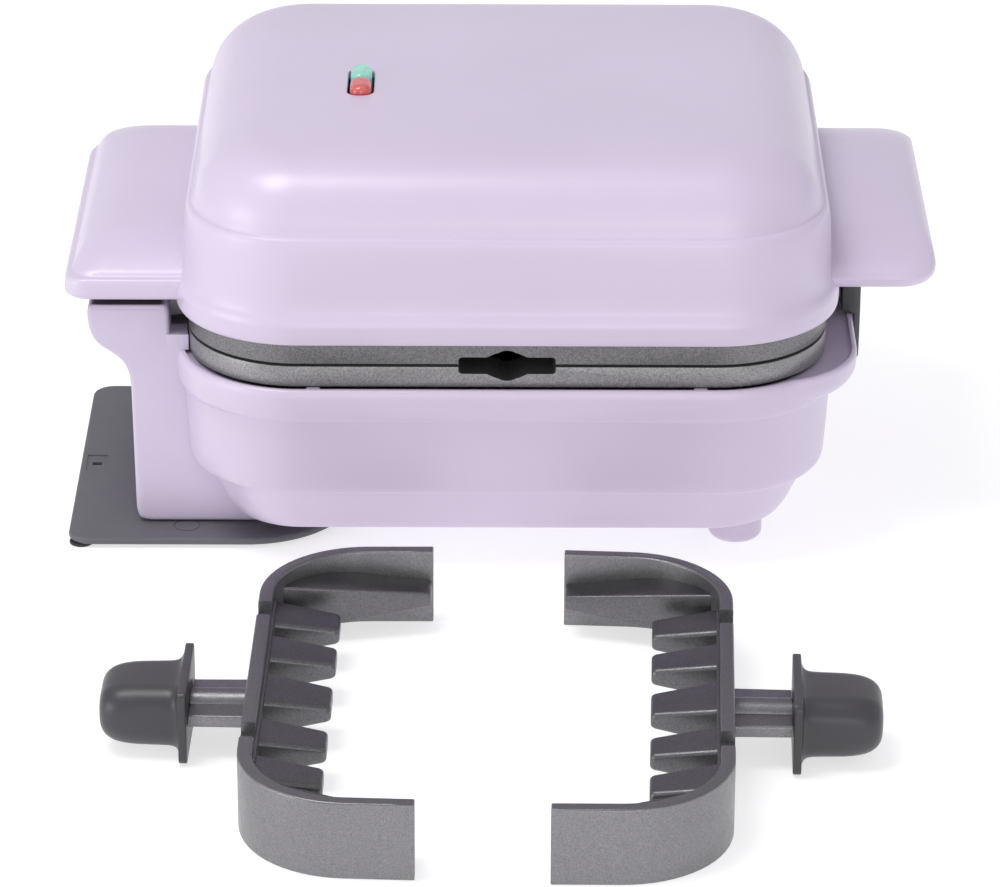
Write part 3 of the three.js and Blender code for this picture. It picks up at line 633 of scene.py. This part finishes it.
lower_casting = plate_casting("lower_plate_casting", True)
finished(lower_casting, lower_rim_painted_light, "base", ["lower_plate"], sharp=35)
upper_casting = plate_casting("upper_plate_casting", False)
lugs = []
for i, y in enumerate((-LUG_Y, LUG_Y)):
    hub = lathe("hub", [(5.9, y - 11), (6.5, y - 10.4), (6.5, y + 10.4), (5.9, y + 11)],
                MACHINE + Vector((PIN_X, 0, PIN_Z)) * MM, 48, "Y")
    arm = across("arm", softened([(PIN_X, -3.2), (-129, 1), (-129, 8.6), (PIN_X, 9.2)], (0.8, 0.4)),
                 y - 11, y + 11, 0.6)
    lugs += [hub, arm]
upper_casting = joined("upper_plate_casting", [upper_casting, *lugs])
finished(upper_casting, upper_rim_painted_shade, "lid", ["upper_plate"], sharp=35)

# ------------------------------------------------------------------ lid
EAR_LEVELS = [
    (13.5, 1.4, 1.4, 1.4, 9), (14.5, 0.3, 0.3, 0.3, 9.5), (16, 0, 0, 0, 9.5),
    (20.6, 0.3, 0.3, 0.3, 9.5), (22, 1.2, 1.2, 1.2, 9), (22.8, 3.2, 3, 3, 9),
    (24.2, 3.9, 4.4, 3.4, 10), (26.4, 5.3, 8, 4.3, 11.5), (28.8, 7.4, 12.6, 7, 13),
    (31, 10.4, 17.8, 11.4, 15), (33, 14.6, 23.4, 17, 17), (34.3, 19, 28.4, 23.6, 18),
    (35, 24, 34, 30, 19),
]
HANDLE_LEVELS = [
    (18.6, 4.2, 4.2, 13), (19.5, 1.9, 1.9, 14), (21.6, 0.4, 0.4, 15), (23.4, 0.1, 0, 15),
    (25.2, 0, 0.9, 15), (26.8, 0.3, 2.4, 15), (28.6, 0.8, 5.3, 15), (31.4, 2.4, 13, 15),
    (33.8, 4.8, 22.5, 15), (35.6, 8, 33, 15),
    (36.6, 13, 46, 15),
]
EAR_HOLLOW = [
    (10, 2.4, 2.4, 2.4, 7), (21.4, 2.6, 2.6, 2.6, 7), (22.8, 6.4, 7.5, 6, 8),
    (26, 9, 14, 8, 10), (30.4, 20, 32, 22, 13),
]
HANDLE_HOLLOW = [
    (15, 3, 3, 11), (25, 3, 4.4, 11), (28.4, 5, 12, 11), (33.4, 13, 44, 11),
]


def ear_ring(left, front, back, front_radius, back_radius, steps=12):
    """Plan of the hinge cover: its left corner is rounder at the back than at the front."""
    points = []
    corners = ((-100, back, 1, 1, 4), (left, back, -1, 1, back_radius),
               (left, front, -1, -1, front_radius), (-100, front, 1, -1, 4))
    for quarter, (x, y, sx, sy, radius) in enumerate(corners):
        for i in range(steps + 1):
            angle = (quarter + i / steps) * math.pi / 2
            points.append((x + radius * (math.cos(angle) - sx), y + radius * (math.sin(angle) - sy)))
    return points


def ear_levels(rows, per_span=4):
    return [(ear_ring(-180 + dx, -82.3 + front, 82.3 - back, r, max(r + 1, 21 - dx)), z)
            for z, dx, front, back, r in catmull(rows, per_span)]


def handle_levels(rows, per_span=5):
    return [(ring(100, 174.4 - dx, -81.5 + dy, 81.5 - dy, r, 14), z)
            for z, dx, dy, r in catmull(rows, per_span)]


LENS_X, LENS_Y = -60.5, (-1.4, -17)
LENS_HALF, LENS_RADIUS = 7.4, 4.4
CROWN = 0.9


def dome_levels():
    levels = case_levels(LID_PROFILE, 5)
    reach_x, reach_y = CORNER_X + 12, CORNER_Y + 12
    for i in range(1, 8):
        share = i / 8
        shrink = 1 - share
        radius = 12 * shrink + 0.01
        outline = ring(-reach_x * shrink, reach_x * shrink, -reach_y * shrink, reach_y * shrink, radius)
        levels.append((outline, LID_TOP_Z + CROWN * (1 - shrink ** 2)))
    return levels


dome = loft("lid_dome", dome_levels())
lens_outline = lambda inset: ring(
    LENS_X - 5.5 + inset, LENS_X + 5.5 - inset, -25 + inset, 6.6 - inset, 5 - inset, 12)
dome = boolean(dome, [
    loft("lid_hollow", case_levels(LID_HOLLOW)),
    loft("lens_slot", [(lens_outline(0), LID_TOP_Z - 8), (lens_outline(0), LID_TOP_Z + 0.2),
                       (lens_outline(-0.9), LID_TOP_Z + 1.1), (lens_outline(-1.2), LID_TOP_Z + 4)]),
])
finished(dome, lavender, "lid", ["lid_shell"], sharp=40)

ear = loft("lid_ear", ear_levels(EAR_LEVELS))
ear = boolean(ear, [
    loft("ear_hollow", ear_levels(EAR_HOLLOW, 2)),
    loft("dome_room", case_levels([(r - 0.8, z - 0.2) for r, z in LID_PROFILE], 3) ),
])
finished(ear, lavender, "lid", sharp=40)
handle = loft("lid_handle", handle_levels(HANDLE_LEVELS))
handle = boolean(handle, [
    loft("handle_hollow", handle_levels(HANDLE_HOLLOW, 2)),
    loft("dome_room", case_levels([(r - 0.8, z - 0.2) for r, z in LID_PROFILE], 3)),
])
finished(handle, lavender, "lid", sharp=40)

LATCH_X, LATCH_Z, LATCH_HALF = 142, 14.5, 40
HANDLE_FLOOR_Z = 19.4
floor_plate = loft("handle_floor", rounded_levels(
    lambda inset: ring(138.8 + inset, 170 - inset, -77 + inset, 77 - inset, 9 - inset, 10),
    HANDLE_FLOOR_Z, HANDLE_FLOOR_Z + 2, 0.4))
brackets = []
for y in (-LATCH_HALF - 2.4, LATCH_HALF + 2.4):
    brackets.append(across("bracket", softened([
        (LATCH_X - 3.4, HANDLE_FLOOR_Z + 0.6), (LATCH_X - 3.4, LATCH_Z), (LATCH_X - 2.4, LATCH_Z - 2.4),
        (LATCH_X, LATCH_Z - 3.4),
        (LATCH_X + 2.4, LATCH_Z - 2.4), (LATCH_X + 3.4, LATCH_Z),
        (LATCH_X + 3.4, HANDLE_FLOOR_Z + 0.6)], (0.8, 0.4)), y - 1.6, y + 1.6, 0.4))
underside = joined("handle_floor", [floor_plate, *brackets])
finished(underside, lavender, "lid", ["handle_underside"])

LATCH_OUTLINE = [
    (138.6, 11), (138.6, -7.6), (139.4, -8.6), (143.8, -8.6), (143.9, -28.2), (144.5, -29), (145.6, -29),
    (146.2, -28.2), (146.4, -8), (146.4, 14.5), (144.5, 17.4), (139.8, 17.4), (138.6, 14.5),
]
lever = across("latch_blade", softened(LATCH_OUTLINE, (0.8, 0.4, 0.2)), -LATCH_HALF, LATCH_HALF, 0.7)
lever = boolean(lever, [block("window", 130, 142.6, -LATCH_HALF + 8, LATCH_HALF - 8, -10, 9)])
finished(lever, latch_black, "latch", ["latch_lever"])

for (node, glass, y) in (("green_lens", green_glass, LENS_Y[0]), ("red_lens", red_glass, LENS_Y[1])):
    rows = [(0.1, -10.4), (0, -10), (0, 0.6), (0.15, 1.8), (0.6, 2.7), (1.5, 3.4), (2.8, 3.72), (4.2, 3.8)]
    lens = loft(f"{node}_dome", [
        (ring(LENS_X - LENS_RADIUS + inset, LENS_X + LENS_RADIUS - inset,
              y - LENS_HALF + inset, y + LENS_HALF - inset,
              LENS_RADIUS - inset, 14), LID_TOP_Z + z) for inset, z in catmull(rows, 3)])
    finished(lens, glass, "lid", [node], sharp=60)

# ------------------------------------------------------------------ core inserts
LENGTH, REACH, HEIGHT, CORE_WALL = 214, 66.6, 31.2, 5.4
CORE_RADIUS, SPLAY = 42, math.radians(1.6)
FIN_REACH, STEM = 26, 22
LEDGE_AT, LEDGE_TIP = 77.6, 91
FINS = ((-64, 20.5, 15), (-34.5, 20.5, 15), (0, 25, 18), (34.5, 20.5, 15), (64, 20.5, 15))
SLOT_AT, SLOT_WIDTH, SLOT_DEPTH = 50.5, 11.4, 4.6
CORES = {"left": (-97.7, -262.9, -1.1, 0), "right": (86.1, -269.2, -1.9, 180)}


def core_half(inset, reach, steps=16):
    r = CORE_RADIUS - inset
    points = []
    for i in range(steps + 1):
        angle = math.pi - (math.pi / 2 - SPLAY) * i / steps
        points.append((CORE_RADIUS + r * math.cos(angle), LENGTH / 2 - CORE_RADIUS + r * math.sin(angle)))
    u, v = points[-1]
    for share in (0.34, 0.67, 1.0):
        points.append((u + (reach - u) * share, v + (reach - u) * share * math.tan(SPLAY)))
    return points


def core_band(outer_inset, inner_inset, reach):
    mirror = lambda points: [(u, -v) for u, v in points]
    outer, inner = core_half(outer_inset, reach), core_half(inner_inset, reach)
    return outer[::-1] + mirror(outer) + mirror(inner)[::-1] + inner


def band(label, outer, inner, reach, z0, z1, edge, **place):
    return loft(label, rounded_levels(
        lambda inset: core_band(outer + inset, inner - inset, reach - inset), z0, z1, edge), **place)


def fin_levels(middle, root, tip):
    end = CORE_WALL + FIN_REACH
    rows = [(root + 1, 15.2, 2, CORE_WALL - 1), (root, 14.4, 2, CORE_WALL + 1),
            (tip + 0.5, 7.1, 2.2, end - 1.8),
            (tip - 0.1, 6.5, 2.3, end - 0.8), (tip - 1.1, 5.6, 2.2, end - 0.2), (tip - 2.6, 4.2, 1.6, end)]
    return [(ring(middle - w / 2, middle + w / 2, -h / 2, h / 2, r, 6), z) for w, h, r, z in rows]


def make_core(side):
    x, y, degrees, half_turn = CORES[side]
    turn = math.radians(degrees + half_turn)
    place = {"at": TABLE + Vector((x, y, 0)) * MM, "turn": turn}
    mid = HEIGHT / 2
    outwards = {**place, "to_point": lambda u, v, w: (w, u, v + mid)}
    walls = band(f"{side}_core_wall", 0, CORE_WALL, REACH, 0, HEIGHT, 0.9, **place)
    cutters = []
    for v in (-SLOT_AT, SLOT_AT):
        for z0, z1 in ((HEIGHT - SLOT_DEPTH, HEIGHT + 4), (-4, SLOT_DEPTH)):
            cutters.append(block(
                "slot", -4, CORE_WALL + 6, v - SLOT_WIDTH / 2, v + SLOT_WIDTH / 2, z0, z1, **place))
    walls = boolean(walls, cutters)
    thick = loft("thick", rounded_levels(
        lambda inset: ring(
            CORE_WALL - 0.5 + inset, CORE_WALL + 1.1 - inset, -66 + inset, 66 - inset, 0.25, 3),
        3, HEIGHT - 4.5, 0.5), **place)
    inside = core_half(CORE_WALL - 0.5, REACH - 0.6)
    filled = inside[::-1] + [(u, -v) for u, v in inside]
    ledge = loft("ledge", [(filled, 0), (filled, HEIGHT)], **place)
    wedge = ((0, mid - 11.4), (REACH + 1, mid - 2.7), (REACH + 1, mid + 2.7), (0, mid + 11.4))
    ledge = boolean(ledge, [loft(
        "wedge", [(wedge, -140), (wedge, 140)], to_point=lambda u, v, w: (u, w, v), **place)], "INTERSECT")
    bay = ((-10, -LEDGE_AT), (0, -LEDGE_AT), (REACH, -LEDGE_TIP), (REACH + 9, -LEDGE_TIP),
           (REACH + 9, LEDGE_TIP), (REACH, LEDGE_TIP), (0, LEDGE_AT), (-10, LEDGE_AT))
    ledge = bevelled(boolean(ledge, [loft("bay", [(bay, -10), (bay, HEIGHT + 10)], **place)]), 0.9)
    fins = [loft("fin", fin_levels(*fin), **outwards) for fin in FINS]
    stem_rows = [(15.5, 2.5, -STEM), (15.7, 2.5, -8), (15.9, 2.5, 0.5)]
    stem = loft("stem", [(ring(-a, a, -b, b, 1, 4), w) for a, b, w in catmull(stem_rows, 3)], **outwards)
    bar = loft("bar", [
        ([(6 * math.cos(k * math.pi / 20), 6 * math.sin(k * math.pi / 20)) for k in range(40)], w)
        for w in (-STEM, 1)], **outwards)
    core = joined(f"{side}_core_casting", [walls, stem, bar])
    finished(core, casting, f"{side}_insert", [f"{side}_core"], sharp=35)
    # the inner band, ledges and fins take the darker copy of the casting, painted shade
    inside_parts = joined(f"{side}_core_inside", [thick, ledge, *fins])
    finished(inside_parts, inner_casting_painted_shade, f"{side}_insert", sharp=35)

    knob_rows = [
        (45.2, 29.2, 2.6, GAP), (46, 30, 3, 0.7), (46, 30, 3, 3.1),
        (45.2, 29.2, 2.8, 3.5), (39.8, 28.2, 5.6, 3.6),
        (37.6, 26.6, 7.6, 4.3), (36.4, 25.6, 8.6, 5.4), (35.6, 25, 9, 8),
        (35.4, 24.6, 9.4, 20), (34.4, 23.6, 9.6, 26),
        (32, 21.2, 9, 30), (27.6, 17, 7.8, 32.8), (22, 12, 5.6, 34), (14, 6, 2.9, 34.4),
    ]
    inwards = {**place, "to_point": lambda u, v, w: (-w, -u, v + mid)}
    knob = loft(f"{side}_knob_grip", [
        (ring(-a / 2, a / 2, -b / 2, b / 2, r, 10), STEM + w)
        for a, b, r, w in catmull(knob_rows, 3)], **inwards)
    finished(knob, knob_black, f"{side}_insert", [f"{side}_knob"], sharp=50)


make_core("left")
make_core("right")

# ------------------------------------------------------------------ CAD nodes that keep their shape
KEPT = {
    "bottom_cover": lavender_spark, "lower_element": steel, "upper_element": steel, "lower_reflector": steel,
    "upper_reflector": steel, "hinge_bracket": steel, "hinge_pin": steel, "thermostat": ceramic,
    "thermal_fuse": steel, "terminal_block": ceramic, "cord_gland": rubber, "latch_pin": steel,
    "lamp_board": board_green, "left_core_screw": steel, "right_core_screw": steel,
    **{f"cover_screw_{i}": steel for i in range(1, 5)}, **{f"stand_screw_{i}": steel for i in range(1, 4)},
}
for node, material in KEPT.items():
    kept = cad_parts[node]
    for material_slot in kept.material_slots:
        material_slot.material = material

# ------------------------------------------------------------------ floor, light and camera
bpy.ops.mesh.primitive_plane_add(size=12, location=(0, 1.5, 0))
floor = bpy.context.object
floor.name = "floor"
floor_material, floor_tree, floor_shader = node_material("pale_floor")
floor_tree.links.new(
    ramp(floor_tree, noise(floor_tree, 3, 2), [(0.3, (0.49, 0.49, 0.5)), (0.7, (0.51, 0.51, 0.52))]),
    floor_shader.inputs["Base Color"])
floor_shader.inputs["Roughness"].default_value = 0.7
floor_shader.inputs["Emission Color"].default_value = (1, 1, 1, 1)
floor_shader.inputs["Emission Strength"].default_value = 0.64
floor.data.materials.append(floor_material)

world = bpy.data.worlds.new("studio")
bpy.context.scene.world = world
world.use_nodes = True
sky = world.node_tree
sides = sky.nodes.new("ShaderNodeSeparateXYZ")
sky.links.new(sky.nodes.new("ShaderNodeTexCoord").outputs["Generated"], sides.inputs["Vector"])
sky.links.new(ramp(sky, sides.outputs["Y"], [(0.0, (0.62, 0.62, 0.64)), (0.25, (0.5, 0.5, 0.52)),
                                             (0.9, (0.66, 0.66, 0.68))]),
              sky.nodes["Background"].inputs["Color"])
sky.nodes["Background"].inputs["Strength"].default_value = 1.0


def softbox(name, at, aim, size, power, color=(1, 1, 1)):
    light = bpy.data.lights.new(name, "AREA")
    light.shape = "RECTANGLE"
    light.size, light.size_y = size
    light.energy = power
    light.color = color
    lamp = bpy.data.objects.new(name, light)
    lamp.location = at
    lamp.rotation_euler = (Vector(aim) - Vector(at)).to_track_quat("-Z", "Y").to_euler()
    bpy.context.scene.collection.objects.link(lamp)


softbox("key_softbox", (-0.65, -0.25, 2.0), (0, -0.1, 0.05), (0.7, 0.9), 18)
softbox("left_softbox", (-2.0, -1.0, 0.45), (0, 0, 0.08), (1.2, 0.7), 10)
softbox("front_softbox", (0.4, -2.5, 0.6), (0, 0, 0.08), (1.6, 0.7), 8)
softbox("right_softbox", (1.9, 0.2, 0.7), (0, 0, 0.1), (0.9, 0.8), 0.8)

CAMERA_AT = Vector((0.31, -1849.6, 905.4)) * MM
CAMERA_ELEVATION = math.radians(24.5)
CAMERA_ROLL = math.radians(0.17)
camera_data = bpy.data.cameras.new("camera")
camera_data.lens = 182.7
camera_data.sensor_width = 36
camera_data.clip_start = 0.05
camera = bpy.data.objects.new("camera", camera_data)
camera.matrix_world = (
    Matrix.Translation(CAMERA_AT)
    @ Matrix.Rotation(math.pi / 2 - CAMERA_ELEVATION, 4, "X")
    @ Matrix.Rotation(CAMERA_ROLL, 4, "Z")
)
bpy.context.scene.collection.objects.link(camera)
bpy.context.scene.camera = camera
bpy.context.scene.view_settings.view_transform = "Standard"
